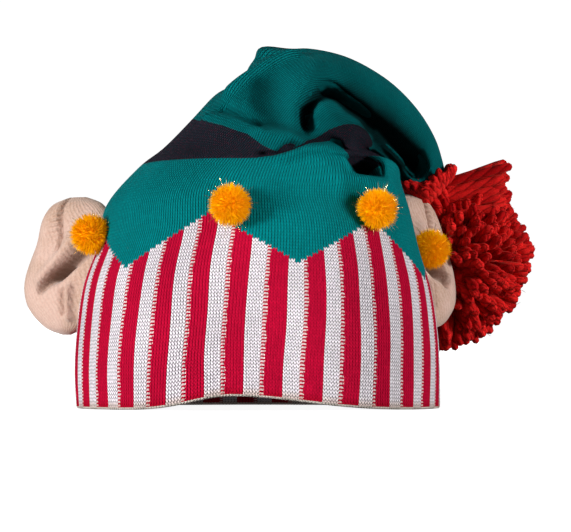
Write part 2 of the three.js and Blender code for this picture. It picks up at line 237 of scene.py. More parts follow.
# Colours
WHITE = (0.94, 0.86, 0.92)
RED = (0.50, 0.003, 0.033)
COMB_GAP = (0.42, 0.0, 0.02)
COMB_DASH = (0.88, 0.70, 0.70)
COMB_LEFT = (0.86, 0.6, 0.6)
# Painted shade on the rolled rim, and painted light along its edge.
HEM_PAINTED_SHADE = (0.70, 0.50, 0.34)
HEM_EDGE_PAINTED_LIGHT = (0.78, 0.68, 0.60)
GREEN = (0.0, 0.190, 0.200)
# Painted shade: the green above the band is darker.
SHADED_CROWN_GREEN = (0.0, 0.134, 0.141)
NAVY = (0.014, 0.020, 0.030)
NAVY_FLECK = (0.09, 0.012, 0.03)
PLUSH_DARK = (0.46, 0.29, 0.21)
PLUSH_LIGHT = (0.58, 0.38, 0.31)
PLUSH_NAP = (0.70, 0.54, 0.45)
YARN_DARK = (0.42, 0.003, 0.005)
YARN_LIGHT = (0.80, 0.018, 0.016)
FLUFF_DARK = (1.0, 0.34, 0.0)
FLUFF_LIGHT = (1.0, 0.60, 0.0)
FLUFF_PAINTED_GLOW = (1.0, 0.42, 0.0, 1)
TINSEL_DARK = (0.9, 0.55, 0.12)
TINSEL_LIGHT = (1.0, 0.86, 0.5)


# Surfaces

def unit(v):
    return v / (np.linalg.norm(v, axis=-1, keepdims=True) + 1e-12)


def bell(distance, width):
    return np.exp(-(distance / width) ** 2)


def curve(table, at):
    """Smooth curve through the rows of a table, all its columns at once."""
    last = len(table) - 1
    low = np.clip(np.floor(at).astype(int), 0, last - 1)
    f = (at - low)[..., None]
    a, b, c, d = (table[np.clip(low + k, 0, last)] for k in (-1, 0, 1, 2))
    cubic = -a + 3 * b - 3 * c + d
    square = 2 * a - 5 * b + 4 * c - d
    return 0.5 * (2 * b + (c - a) * f + square * f * f + cubic * f ** 3)


def smooth(turn, row):
    """A point of the tube without its folds."""
    turn, row = np.broadcast_arrays(np.asarray(turn, float), np.asarray(row, float))
    out_x, out_z, in_x, in_z, deep, back, arch = np.moveaxis(curve(SECTIONS, row) * SHARES_OF, -1, 0)
    side, front = np.sin(turn), np.cos(turn)
    away = np.degrees((turn + np.pi) % (2 * np.pi) - np.pi) - LIFT["angle"]
    spread = np.where(away < 0, LIFT["right"], LIFT["left"])
    lift = FRONT_LIFT * bell(away, spread) * bell(row, LIFT["rows"]) * (abs(away) < LIFT["reach"])
    return np.stack([
        (out_x + in_x) / 2 + side * (in_x - out_x) / 2,
        back - deep * front,
        (out_z + in_z) / 2 + side * (in_z - out_z) / 2 + arch * front + lift,
    ], -1)


def directions(surface, turn, row):
    """Unit directions around, up and out of a surface."""
    step = 0.01
    around = unit(surface(turn + step, row) - surface(turn - step, row))
    up = unit(surface(turn, np.minimum(row + step, LAST_ROW)) - surface(turn, np.maximum(row - step, 0)))
    return around, up, unit(np.cross(around, up))


def fold_strength(width, places, flat, row):
    """A fold's share of its full strength at points of the smooth tube, and the fold's way there."""
    strength, way = np.zeros(flat.shape[:-1]), np.zeros(flat.shape)
    for (angle0, row0), (angle1, row1) in zip(places, places[1:]):
        start, end = smooth(math.radians(angle0), row0), smooth(math.radians(angle1), row1)
        line = end - start
        share = np.clip((flat - start) @ line / (line @ line), 0, 1)
        distance = np.linalg.norm(flat - start - share[..., None] * line, axis=-1)
        rows_away = row - np.clip(row, min(row0, row1), max(row0, row1))
        here = bell(rows_away, FOLD_ROW_REACH) * bell(distance, width)
        way = np.where((here > strength)[..., None], unit(line), way)
        strength = np.maximum(here, strength)
    return strength, way


def cloth(turn, row):
    """A point of the folded cloth."""
    turn, row = np.broadcast_arrays(np.asarray(turn, float), np.asarray(row, float))
    flat = smooth(turn, row)
    out = directions(smooth, turn, row)[2]
    point = flat.copy()
    for fold in FOLDS:
        height, roll, sink = fold[1:4]
        strength, way = fold_strength(fold[0], fold[4:], flat, row)
        shift = height * out + roll * unit(np.cross(out, way)) + sink * np.array([0, 1, 0])
        point += strength[..., None] * shift
    for push, strength in zip(PUSHES, push_strengths(turn, row)):
        point += strength[..., None] * np.array(push[4])
    return point


def push_strengths(turn, row):
    degrees = np.degrees((turn + np.pi) % (2 * np.pi) - np.pi)
    return [np.exp(-((degrees - angle) / spread) ** 4 - ((row - middle) / rows) ** 4)
            for angle, spread, middle, rows, _ in PUSHES]


def painted_fold_shade(turn, row):
    """How much painted shade the cloth gets, from 0 to 1: from how deep in its folds and pocket it lies,
    and from the painted shades beside folds.
    """
    turn, row = np.broadcast_arrays(np.asarray(turn, float), np.asarray(row, float))
    flat = smooth(turn, row)
    lines = [(fold[0], max(fold[3], 0) + max(-fold[1], 0), fold[4:]) for fold in FOLDS]
    lines += [(shade[0], shade[1], shade[2:]) for shade in PAINTED_SHADES]
    depth = sum(each * fold_strength(width, places, flat, row)[0] for width, each, places in lines if each)
    depth = depth + sum(max(push[4][1], 0) * each for push, each in zip(PUSHES, push_strengths(turn, row)))
    return np.clip(depth / FULL_FOLD_SHADE_DEPTH, 0, 1)


def length_table():
    """The mean length of cloth from the rim, by row."""
    rows = np.linspace(0, LAST_ROW, 321)
    lengths = 0
    for angle in (-90, -45, 0):
        steps = np.linalg.norm(np.diff(smooth(math.radians(angle), rows), axis=0), axis=1)
        lengths = lengths + np.concatenate([[0], np.cumsum(steps)]) / 3
    return rows, lengths


ROWS, LENGTHS = length_table()


def along(row):
    return np.interp(row, ROWS, LENGTHS)


def knitted(degrees, rows):
    """The length of cloth below each row, which the folds hold back around the band."""
    lower, upper = (np.interp(degrees, BAND_EDGES[:, 0], BAND_EDGES[:, k]) for k in (1, 2))
    start, end = FREE_ROWS
    seen = [0, along(start), along(BAND_ROWS[0]), along(BAND_ROWS[1]), along(end), along(LAST_ROW)]
    lengths = along(rows)[:, None] * np.ones(len(degrees))
    for k in range(len(degrees)):
        real = [0, along(start), along(lower[k]), along(upper[k]), along(end), along(LAST_ROW)]
        lengths[:, k] = np.interp(lengths[:, k], real, seen)
    return lengths


def girth(row):
    ring = smooth(np.linspace(0, 2 * np.pi, 91), row)
    return np.linalg.norm(np.diff(ring, axis=0), axis=1).sum()


def girth_share(row):
    """The share of the rim's wales that a ring keeps, finer above the band."""
    if row <= FREE_ROWS[0]:
        return 1
    finer = CROWN_FINER if row > BAND_ROWS[1] else 1
    return math.ceil(GIRTH_STEPS * min(girth(row) / RIM_GIRTH, 1) * finer) / GIRTH_STEPS


RIM_GIRTH = girth(0)


def row_at_height(turn, height):
    rows = np.linspace(0, 6, 241)
    return np.interp(height, cloth(turn, rows)[:, 2], rows)


# Meshes

def placed(points):
    """Points of the hat's own frame, in the part's frame and in metres."""
    turn = math.radians(FLOP_TURN)
    c, s = math.cos(turn), math.sin(turn)
    x, y, z = np.moveaxis(np.asarray(points, float), -1, 0)
    return (np.stack([c * x - s * y, s * x + c * y, z], -1) + ORIGIN_SHIFT) / 1000


def grid_faces(rows, columns):
    """Quads between rings that close around."""
    j, i = np.meshgrid(np.arange(rows - 1), np.arange(columns), indexing="ij")
    k = (i + 1) % columns
    return np.stack([j * columns + i, j * columns + k, (j + 1) * columns + k, (j + 1) * columns + i],
                    -1).reshape(-1, 4)


def corner_uvs(corners):
    """Texture places of quads, from the two values at each of their four corners."""
    return np.stack([np.stack(corner, -1) for corner in corners], -2).reshape(-1, 4, 2)


def grid_uvs(u, v):
    """Texture places of the quads' corners, from one more value around than columns."""
    u, v = np.broadcast_arrays(u, v)
    return corner_uvs([
        (u[:-1, :-1], v[:-1, :-1]),
        (u[:-1, 1:], v[:-1, 1:]),
        (u[1:, 1:], v[1:, 1:]),
        (u[1:, :-1], v[1:, :-1]),
    ])


def make_piece(name, parts, replaced, materials):
    """One piece from parts, each points, quads, texture places and a material's number."""
    points = np.concatenate([placed(part[0]) for part in parts])
    starts = np.cumsum([0] + [len(part[0]) for part in parts])
    faces = np.concatenate([part[1] + start for part, start in zip(parts, starts)])
    uvs = np.concatenate([np.asarray(part[2], float).reshape(-1, 4, 2) for part in parts])
    kinds = np.concatenate([np.full(len(part[1]), part[3]) for part in parts])
    mesh = bpy.data.meshes.new(name)
    mesh.from_pydata(points.tolist(), [], faces.tolist())
    mesh.uv_layers.new(name="knit").data.foreach_set("uv", uvs.ravel())
    mesh.polygons.foreach_set("material_index", kinds.astype(np.int32))
    mesh.shade_smooth()
    for material in materials:
        mesh.materials.append(material)
    piece = bpy.data.objects.new(name, mesh)
    bpy.context.scene.collection.objects.link(piece)
    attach(piece, "root")
    for node in replaced:
        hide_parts(node)
    return piece


def mark_painted_fold_shade(piece, first, depths):
    """Keeps how deep in folds a piece's points lie, for the painted shade in its material."""
    values = np.zeros(len(piece.data.vertices))
    values[first:first + depths.size] = depths.ravel()
    piece.data.attributes.new("painted_fold_shade", "FLOAT", "POINT").data.foreach_set("value", values)


def tubes(paths, radii, sides, material):
    """Round strands along paths, with their lengths and turns as texture places."""
    count, steps = radii.shape
    along_path = unit(np.gradient(paths, axis=1))
    mean_way = unit(paths[:, -1] - paths[:, 0])
    helper = np.where(abs(mean_way[:, 2:]) < 0.8, [0, 0, 1.0], [1.0, 0, 0])
    across = unit(np.cross(along_path, helper[:, None]))
    over = np.cross(along_path, across)
    turns = np.linspace(0, 2 * np.pi, sides, endpoint=False)
    ring = (np.cos(turns)[:, None] * across[:, :, None] + np.sin(turns)[:, None] * over[:, :, None])
    points = (paths[:, :, None] + radii[:, :, None, None] * ring).reshape(-1, 3)
    starts = np.arange(count) * steps * sides
    faces = (grid_faces(steps, sides)[None] + starts[:, None, None]).reshape(-1, 4)
    lengths = np.linalg.norm(np.diff(paths, axis=1), axis=2)
    lengths = np.concatenate([np.zeros((count, 1)), np.cumsum(lengths, 1)], 1)
    u = np.linspace(0, 1, sides + 1)
    uvs = [grid_uvs(u[None] + 2 * k, lengths[k][:, None]) for k in range(count)]
    return points, faces, np.concatenate(uvs), material


def spread_directions(count):
    k = np.arange(count)
    level = 1 - (2 * k + 1) / count
    reach = np.sqrt(1 - level ** 2)
    turn = k * math.pi * (3 - math.sqrt(5))
    return np.stack([reach * np.cos(turn), reach * np.sin(turn), level], -1)


# Materials

class Nodes:
    """Node chains of one material, written as calls."""

    def __init__(self, name, roughness, sheen, sheen_tint=(1, 1, 1)):
        self.material = bpy.data.materials.new(name)
        self.material.use_nodes = True
        self.tree = self.material.node_tree
        self.tree.nodes.clear()
        self.shader = self.tree.nodes.new("ShaderNodeBsdfPrincipled")
        end = self.tree.nodes.new("ShaderNodeOutputMaterial")
        self.tree.links.new(self.shader.outputs[0], end.inputs[0])
        self.shader.inputs["Roughness"].default_value = roughness
        self.shader.inputs["Sheen Weight"].default_value = sheen
        self.shader.inputs["Sheen Roughness"].default_value = 0.5
        self.shader.inputs["Sheen Tint"].default_value = (*sheen_tint, 1)
        self.shader.inputs["Specular IOR Level"].default_value = 0.04
        self.coordinates = self.tree.nodes.new("ShaderNodeTexCoord")

    def feed(self, socket, value):
        if hasattr(value, "is_output"):
            self.tree.links.new(value, socket)
        elif isinstance(value, tuple):
            socket.default_value = (*value, 1) if len(socket.default_value) == 4 else value
        else:
            socket.default_value = value

    def math(self, operation, *values):
        node = self.tree.nodes.new("ShaderNodeMath")
        node.operation = operation
        for socket, value in zip(node.inputs, values):
            self.feed(socket, value)
        return node.outputs[0]

    def ramp(self, value, low, high, out_low=0.0, out_high=1.0):
        node = self.tree.nodes.new("ShaderNodeMapRange")
        node.interpolation_type = "SMOOTHSTEP"
        for socket, each in zip(node.inputs, (value, low, high, out_low, out_high)):
            self.feed(socket, each)
        return node.outputs[0]

    def mix(self, share, a, b, blend="MIX"):
        node = self.tree.nodes.new("ShaderNodeMix")
        node.data_type = "RGBA"
        node.blend_type = blend
        colours = [socket for socket in node.inputs if socket.type == "RGBA"]
        self.feed(node.inputs[0], share)
        self.feed(colours[0], a)
        self.feed(colours[1], b)
        return [socket for socket in node.outputs if socket.type == "RGBA"][0]

    def vector(self, x, y, z=0.0):
        node = self.tree.nodes.new("ShaderNodeCombineXYZ")
        for socket, value in zip(node.inputs, (x, y, z)):
            self.feed(socket, value)
        return node.outputs[0]

    def noise(self, scale, detail=2.0):
        node = self.tree.nodes.new("ShaderNodeTexNoise")
        self.tree.links.new(self.coordinates.outputs["Object"], node.inputs["Vector"])
        node.inputs["Scale"].default_value = scale
        node.inputs["Detail"].default_value = detail
        return node.outputs[0]

    def dice(self, where):
        node = self.tree.nodes.new("ShaderNodeTexWhiteNoise")
        node.noise_dimensions = "2D"
        self.tree.links.new(where, node.inputs["Vector"])
        return node.outputs[0]

    def attribute(self, name):
        node = self.tree.nodes.new("ShaderNodeAttribute")
        node.attribute_name = name
        return node.outputs["Fac"]

    def uv(self):
        node = self.tree.nodes.new("ShaderNodeSeparateXYZ")
        self.tree.links.new(self.coordinates.outputs["UV"], node.inputs[0])
        return node.outputs[0], node.outputs[1]

    def strand(self):
        """A number for each strand, which its two steps of texture place share."""
        u = self.uv()[0]
        return self.dice(self.vector(self.math("FLOOR", self.math("MULTIPLY", u, 0.5)), 0.0))

    # Paints light and shade into a colour, by multiplying it by a lightness.
    def shaded(self, colour, light):
        return self.mix(1.0, colour, self.vector(light, light, light), "MULTIPLY")

    def finish(self, colour, height, distance, strength=1.0):
        self.feed(self.shader.inputs["Base Color"], colour)
        bump = self.tree.nodes.new("ShaderNodeBump")
        bump.inputs["Strength"].default_value = strength
        bump.inputs["Distance"].default_value = distance / 1000
        self.tree.links.new(height, bump.inputs["Height"])
        self.tree.links.new(bump.outputs[0], self.shader.inputs["Normal"])
        return self.material


def stripe_colours(n, u, v, red, stitch):
    """Red and white stripes with comb-like edges, and the rim's turned edge, with painted shade on the
    roll and painted light along its edge.
    """
    beside = n.math("FLOORED_MODULO", n.math("ADD", u, STRIPE_START), STRIPE_WALES)
    dash = n.math("LESS_THAN", n.math("FRACT", v), 0.52)
    right = n.math("LESS_THAN", beside, n.math("MULTIPLY_ADD", stitch, 0.6, 0.9))
    left = n.math("GREATER_THAN", beside, n.math("MULTIPLY_ADD", stitch, -0.3, 11.75))
    stripes = n.mix(red, WHITE, RED)
    stripes = n.mix(n.math("MULTIPLY", right, 0.9), stripes, n.mix(dash, COMB_GAP, COMB_DASH))
    stripes = n.mix(n.math("MULTIPLY", left, n.math("MULTIPLY", dash, 0.6)), stripes, COMB_LEFT)
    # Painted shade: above the rim the stripes are darkened with a beige tint, fading out by the third
    # course.
    stripes = n.mix(n.ramp(v, 0.8, 3.2, 0.55, 0.0), stripes, HEM_PAINTED_SHADE, "MULTIPLY")
    # Painted light: a cream line along the rim's edge, in place of light shining through it.
    return n.mix(n.math("LESS_THAN", v, 0.6), stripes, HEM_EDGE_PAINTED_LIGHT)


def crown_colours(n, course):
    """Green with the navy band, which is flecked with red, and a darker green above the band as painted
    shade on the crown.
    """
    above = n.math("GREATER_THAN", course, along(BAND_ROWS[0]) / COURSE)
    below = n.math("LESS_THAN", course, along(BAND_ROWS[1]) / COURSE)
    shaded_crown = n.math("GREATER_THAN", course, along(BAND_ROWS[1]) / COURSE)
    flecks = n.math("GREATER_THAN", n.noise(1500, 0.0), 0.62)
    navy = n.mix(n.math("MULTIPLY", flecks, 0.5), NAVY, NAVY_FLECK)
    return n.mix(n.math("MULTIPLY", above, below), n.mix(shaded_crown, GREEN, SHADED_CROWN_GREEN), navy)


def above_zigzag(n, wale, course):
    """1 in the stitches above the zigzag that ends the stripes."""
    turn = n.math("MULTIPLY_ADD", wale, 1 / ZIGZAG_WALES, 0.5 - 5.5 / ZIGZAG_WALES)
    swing = n.math("SUBTRACT", n.math("FRACT", turn), 0.5)
    peak = n.math("MULTIPLY", n.math("ABSOLUTE", swing), 2.0)
    low = (along(ZIGZAG_ROW) - ZIGZAG_LOW) / COURSE
    return n.math("GREATER_THAN", course, n.math("MULTIPLY_ADD", peak, ZIGZAG_HEIGHT / COURSE, low))


def stitch_light(n, aside, dot, red, green, stitch):
    """How light each part of a stitch is painted: lighter on its crown, with painted shade between
    stitches and deep in folds, and random tone from stitch to stitch.
    """
    white = n.math("MULTIPLY", n.math("SUBTRACT", 1.0, red), n.math("SUBTRACT", 1.0, green))
    # Painted shade: the dots between stitches darken most in the white yarn, the grooves between wales
    # most in the green.
    dot_shade_strength = n.math("MULTIPLY_ADD", white, 1.3, 0.50)
    groove_shade_strength = n.math("MULTIPLY_ADD", green, 0.78, 0.12)
    painted_groove_shade = n.math("MULTIPLY", n.math("POWER", aside, 2.5), groove_shade_strength)
    light = n.math("MULTIPLY_ADD", green, 0.13, 1.22)
    light = n.math("SUBTRACT", light, n.math("MULTIPLY", dot, dot_shade_strength))
    light = n.math("MAXIMUM", n.math("SUBTRACT", light, painted_groove_shade), 0.12)
    light = n.math("MULTIPLY", light, n.math("MULTIPLY_ADD", stitch, 0.14, 0.93))
    light = n.math("MULTIPLY", light, n.ramp(n.noise(38, 3.0), 0.3, 0.7, 0.93, 1.05))
    # Painted shade: deep in the folds the colour is darkened, down to 0.16.
    return n.math("MULTIPLY", light, n.ramp(n.attribute("painted_fold_shade"), 0.08, 0.95, 1.0, 0.16))


def knit_material():
    """Stocking stitch, one V a course in each wale, with the pattern stitch by stitch."""
    n = Nodes("knit", 0.95, 0.0)
    u, v = n.uv()
    wale = n.math("FLOOR", u)
    aside = n.math("ABSOLUTE", n.math("MULTIPLY_ADD", n.math("FRACT", u), 2.0, -1.0))
    lifted = n.math("MULTIPLY_ADD", aside, -0.6, v)
    course = n.math("FLOOR", lifted)
    stitch = n.dice(n.vector(wale, course))
    phase = n.math("FLOORED_MODULO", n.math("ADD", wale, STRIPE_START), STRIPE_WALES)
    red = n.math("LESS_THAN", phase, RED_WALES - 0.5)
    green = above_zigzag(n, wale, course)
    colour = n.mix(green, stripe_colours(n, u, v, red, stitch), crown_colours(n, course))

    side = n.math("ABSOLUTE", n.math("MULTIPLY_ADD", aside, 2.0, -1.0))
    joint = n.math("ABSOLUTE", n.math("MULTIPLY_ADD", n.math("FRACT", lifted), 2.0, -1.0))
    dot = n.math("MULTIPLY", n.math("POWER", side, 0.8), n.math("POWER", joint, 1.3))
    height = n.math("MULTIPLY_ADD", n.math("POWER", aside, 2.5), -0.8, 1.0)
    height = n.math("SUBTRACT", height, n.math("MULTIPLY", dot, 0.8))
    height = n.math("MULTIPLY_ADD", n.noise(1400, 2.0), 0.2, height)
    colour = n.shaded(colour, stitch_light(n, aside, dot, red, green, stitch))
    return n.finish(colour, height, 0.8, 1.0)


def plush_material():
    """Brushed tricot with a short nap and fine ribs, with painted shade along the ribs and deep in the
    folds.
    """
    n = Nodes("ear_plush", 0.95, 0.45, (1, 0.9, 0.85))
    u, v = n.uv()
    slanted = n.math("MULTIPLY", n.math("MULTIPLY_ADD", v, 0.35, u), 2 * math.pi / RIB)
    wander = n.math("MULTIPLY", n.noise(110, 2.0), 9.0)
    rib = n.math("SINE", n.math("ADD", slanted, wander))
    nap = n.noise(900, 3.0)
    colour = n.mix(n.ramp(n.noise(42, 3.0), 0.35, 0.65), PLUSH_DARK, PLUSH_LIGHT)
    colour = n.mix(n.ramp(nap, 0.3, 0.7, 0.0, 0.35), colour, PLUSH_NAP)
    # Painted shade: deep in the folds the colour is darkened to 0.62, and the ribs are painted a little
    # lighter and darker.
    shade = n.ramp(n.attribute("painted_fold_shade"), 0.0, 1.0, 1.0, 0.62)
    light = n.math("MULTIPLY", n.ramp(rib, -1.0, 1.0, 0.95, 1.02), shade)
    height = n.math("ADD", n.math("MULTIPLY", rib, 0.14), nap)
    return n.finish(n.shaded(colour, light), height, 0.6, 0.8)


def yarn_material():
    """Thick soft yarn of loosely twisted plies, with painted shade between the plies."""
    n = Nodes("pompom_yarn", 0.9, 0.08, (1, 0.3, 0.2))
    u, v = n.uv()
    twisted = n.math("ADD", n.math("MULTIPLY", u, 3 * math.pi), n.math("MULTIPLY", v, 0.35))
    ply = n.math("ABSOLUTE", n.math("SINE", twisted))
    hairs = n.noise(1100, 3.0)
    # Painted shade in the grooves between the plies, with random tone from the hairs.
    light = n.math("MULTIPLY", n.ramp(ply, 0.0, 0.5, 0.55, 1.0), n.ramp(hairs, 0.25, 0.75, 0.8, 1.15))
    colour = n.shaded(n.mix(n.strand(), YARN_DARK, YARN_LIGHT), light)
    return n.finish(colour, n.math("MULTIPLY_ADD", hairs, 0.4, ply), 0.7, 0.8)


def fluff_material():
    """Fine dyed fibres, with a faint painted glow that stands in for the light they let through."""
    n = Nodes("bobble_fluff", 0.8, 0.1, (1, 0.62, 0.08))
    # Painted light: a faint orange glow of the fibres.
    n.shader.inputs["Emission Color"].default_value = FLUFF_PAINTED_GLOW
    n.shader.inputs["Emission Strength"].default_value = 0.08
    patch = n.math("MULTIPLY", n.noise(160, 2.0), 0.45)
    share = n.math("MULTIPLY_ADD", n.strand(), 0.6, patch)
    return n.finish(n.mix(share, FLUFF_DARK, FLUFF_LIGHT), n.noise(2400, 2.0), 0.05, 0.3)


def tinsel_material():
    """Bright gold strips."""
    n = Nodes("tinsel", 0.25, 0.0)
    n.shader.inputs["Metallic"].default_value = 1.0
    return n.finish(n.mix(n.strand(), TINSEL_DARK, TINSEL_LIGHT), n.noise(900, 2.0), 0.1, 0.3)


# Pieces

def knit_uvs(degrees, row_of, lengths):
    """The wale and course at the corners of the tube's quads."""
    v = (lengths[:, None] + knitted(degrees, row_of) - along(row_of)[:, None]) / COURSE
    broad = np.sin(np.radians(7 * degrees)[None] + 0.08 * v)
    narrow = np.sin(np.radians(11 * degrees)[None] - 0.23 * v + 1.3)
    twist = TWIST * np.clip(row_of / TWIST_ROWS, 0, 1)
    u = (degrees[None] - twist[:, None] - STRIPE_OFFSET) * WALES / 360 + (0.25 * broad + 0.12 * narrow)
    shares = np.array([girth_share(row) for row in (row_of[1:] + row_of[:-1]) / 2])[:, None]
    low, high = u[:-1] * shares, u[1:] * shares
    return corner_uvs([
        (low[:, :-1], v[:-1, :-1]),
        (low[:, 1:], v[:-1, 1:]),
        (high[:, 1:], v[1:, 1:]),
        (high[:, :-1], v[1:, :-1]),
    ])


def lining(turns, degrees, first):
    """The tube's inner side."""
    steps = np.linspace(along(first), along(LAST_ROW) - LINING_SHORT, LINING_RINGS)
    steps = np.interp(steps, LENGTHS, ROWS)
    out = directions(smooth, turns[None], steps[:, None])[2]
    inside = cloth(turns[None], steps[:, None]) - WALL * out
    u = (degrees[None] - STRIPE_OFFSET) * np.ones((LINING_RINGS, 1))
    uvs = grid_uvs(u, (along(steps) / COURSE)[:, None])
    faces = grid_faces(LINING_RINGS, KNIT_COLUMNS)
    return inside.reshape(-1, 3), faces[:, ::-1], uvs[:, ::-1], 0


def make_knit():
    """The tube with its rolled rim and its inner side."""
    degrees = np.linspace(-180, 180, KNIT_COLUMNS + 1)
    turns = np.radians(degrees[:-1])
    half = WALL / 2
    first = np.interp(half, LENGTHS, ROWS)
    steps = np.interp(np.linspace(along(first), along(LAST_ROW), KNIT_RINGS), LENGTHS, ROWS)
    outer = cloth(turns[None], steps[:, None])
    out = directions(smooth, turns, np.full(KNIT_COLUMNS, first))[2]
    down = np.array([0, 0, -1.0])
    bends = np.linspace(np.pi, 0, HEM_RINGS + 1)[:-1]
    hem = [outer[0] - half * out + half * (np.cos(bend) * out + np.sin(bend) * down) for bend in bends]
    tip = outer[-1].mean(0)
    closing = [outer[-1] + (tip - outer[-1]) * share for share in (0.3, 0.6, 0.98)]
    points = np.concatenate([hem, outer, closing])
    lengths = np.concatenate([-half * bends, along(steps), along(LAST_ROW) + np.array([2, 4, 6])])
    row_of = np.concatenate([np.full(HEM_RINGS, first), steps, np.full(len(closing), LAST_ROW)])
    faces = grid_faces(len(points), KNIT_COLUMNS)
    shell = (points.reshape(-1, 3), faces, knit_uvs(degrees, row_of, lengths), 0)
    parts = [shell, lining(turns, degrees, first)]
    piece = make_piece("knit_cloth", parts, ["knit_body"], [knit_material()])
    mark_painted_fold_shade(piece, HEM_RINGS * KNIT_COLUMNS, painted_fold_shade(turns[None], steps[:, None]))


def ear_folds(out, at):
    """How far the ear's front stands out at places, and how deep they lie in folds, for the painted shade
    there.
    """
    point = np.stack([out * EAR_REACH, at * EAR_HEIGHT], -1)
    total, depth = np.zeros(out.shape), np.zeros(out.shape)
    for width, height, *places in EAR_FOLDS:
        strength = np.zeros(out.shape)
        for (out0, at0), (out1, at1) in zip(places, places[1:]):
            start = np.array([out0 * EAR_REACH, at0 * EAR_HEIGHT])
            line = np.array([out1 * EAR_REACH, at1 * EAR_HEIGHT]) - start
            share = np.clip((point - start) @ line / (line @ line), 0, 1)
            distance = np.linalg.norm(point - start - share[..., None] * line, axis=-1)
            strength = np.maximum(strength, bell(distance, width * EAR_REACH))
        total += height * EAR_REACH * strength
        depth += max(-height, 0) * EAR_REACH * strength
    return total, np.clip(depth / EAR_FULL_FOLD_SHADE_DEPTH, 0, 1)


def ear_gathers(out, at):
    """Small wrinkles beside the seam."""
    g = EAR_GATHERS
    waves = np.sin(at * EAR_HEIGHT * 2 * np.pi / g["apart"] + 2 * np.sin(9 * out))
    return g["depth"] * waves * bell(out - g["out"], g["spread"]) * bell(at - g["at"], g["reach"])


def make_ear(name, side, material):
    """A padded ear whose seam follows the hat's side."""
    seam_turn = math.radians(side * EAR_ANGLE - FLOP_TURN)
    sweep = math.radians(side * EAR_SWEEP - FLOP_TURN)
    outward = np.array([side * math.cos(sweep), side * math.sin(sweep), 0])
    forward = np.array([math.sin(sweep), -math.cos(sweep), 0])
    index = np.linspace(0, len(EAR_SECTIONS) - 1, EAR_POINTS)
    at, start, end, thick = (column[:, None] for column in curve(EAR_SECTIONS, index).T)
    heights = EAR_FROM_RIM + at * EAR_HEIGHT + (LEFT_EAR_RISE if side > 0 else 0)
    seam = cloth(seam_turn, row_at_height(seam_turn, heights))
    turns = np.linspace(0, 2 * np.pi, EAR_POINTS, endpoint=False)[None]
    out = (start + end) / 2 + (end - start) / 2 * np.cos(turns)
    bulge = -side * np.sin(turns)
    fold, depth = ear_folds(out, np.broadcast_to(at, out.shape))
    fold = np.maximum(bulge, 0) * (fold + ear_gathers(out, at))
    narrow = 1 - (LEFT_EAR_TAPER * at ** 2 if side > 0 else 0)
    points = (seam + (out * narrow * EAR_REACH)[..., None] * outward
              + (bulge * thick * EAR_THICKNESS / 2 + fold)[..., None] * forward)
    ends = [points[:1].mean(1, keepdims=True), points[-1:].mean(1, keepdims=True)]
    bottom, top = points[:1] * 0.02 + ends[0] * 0.98, points[-1:] * 0.02 + ends[1] * 0.98
    points = np.concatenate([bottom, points, top])
    u = np.linspace(0, 2 * EAR_REACH, EAR_POINTS + 1)[None]
    v = np.concatenate([heights[:1], heights, heights[-1:]])
    faces = grid_faces(EAR_POINTS + 2, EAR_POINTS)
    part = (points.reshape(-1, 3), faces, grid_uvs(u, v), 0)
    piece = make_piece(name + "_plush", [part], [name], [material])
    depth = np.concatenate([depth[:1] * 0, depth * (bulge > 0), depth[:1] * 0])
    mark_painted_fold_shade(piece, 0, depth)


def make_bobble(name, angle, row, materials):
    """A fluffy ball of fine fibres with strips of tinsel."""
    turn = math.radians(angle - FLOP_TURN)
    out = directions(cloth, turn, np.array(row))[2]
    foot = cloth(turn, row)
    centre = foot + out * (BOBBLE_SIZE / 2 - BOBBLE_SINK)
    radius = BOBBLE_SIZE / 2

    def strands(count, reach, thick, bend, material):
        ways = unit(spread_directions(count) + chance.normal(0, 0.10, (count, 3)))
        ends = radius * chance.uniform(*reach, count)
        depth = ways @ out
        room = (centre - foot) @ out - 0.4
        ends = np.where(depth < -0.05, np.minimum(ends, room / np.maximum(-depth, 0.05)), ends)
        keep = ends > radius * 0.45
        ways, ends = ways[keep], ends[keep]
        shares = np.array([0.3, 0.6, 0.85, 1.0])
        aside = unit(np.cross(ways, chance.normal(0, 1, ways.shape)))
        paths = centre + ways[:, None] * (ends[:, None] * shares)[..., None]
        bends = (bend * shares ** 2)[None, :, None]
        paths = paths + aside[:, None] * bends * chance.uniform(0, 1, (len(ways), 1, 1))
        profile = np.array([1.0, 1.0, 0.75, 0.15])[None]
        radii = thick * profile * chance.uniform(0.7, 1.2, (len(ways), 1))
        return tubes(paths, radii, 3, material)

    core_ways = spread_directions(BOBBLE_CORE_STRANDS)
    core_shares = radius * np.array([0.02, 0.4, 0.62, 0.7])
    core_paths = centre + core_ways[:, None] * core_shares[None, :, None]
    core_radii = np.tile([1.6, 2.4, 2.2, 0.2], (BOBBLE_CORE_STRANDS, 1))
    core = tubes(core_paths, core_radii, 6, 0)
    fluff = strands(material=0, **FLUFF)
    glints = strands(material=1, **GLINTS)
    make_piece(name + "_fluff", [core, fluff, glints], [name], materials)


def bvh_of(*nodes):
    points, faces = [], []
    for node in nodes:
        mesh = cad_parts[node].data
        start = len(points)
        points += [tuple(v.co) for v in mesh.vertices]
        faces += [[start + k for k in p.vertices] for p in mesh.polygons]
    return BVHTree.FromPolygons(points, faces)


def tip_point():
    degrees = np.concatenate([np.linspace(-65, 105, 35)[:-1], np.linspace(105, 295, 17)[:-1]])
    return cloth(np.radians(degrees), float(LAST_ROW)).mean(0)


def pompom_centre():
    return tip_point() + unit(POMPOM_HANG.astype(float)) * (POMPOM_SIZE / 2 - POMPOM_SINK)


def room_for(centre, tree, ways, reach, spare):
    """How far each strand can go before it meets a neighbour."""
    middle = placed(centre)
    ends = reach.copy()
    for k, way in enumerate(placed(centre + ways) - middle):
        hit = tree.ray_cast(Vector(middle), Vector(way).normalized(), (reach[k] + spare) / 1000)
        if hit[0] is not None:
            ends[k] = max(hit[3] * 1000 - spare, 1)
    return ends


def yarn_radii(profile, count, least, most):
    return np.array(profile)[None] * chance.uniform(least, most, (count, 1))


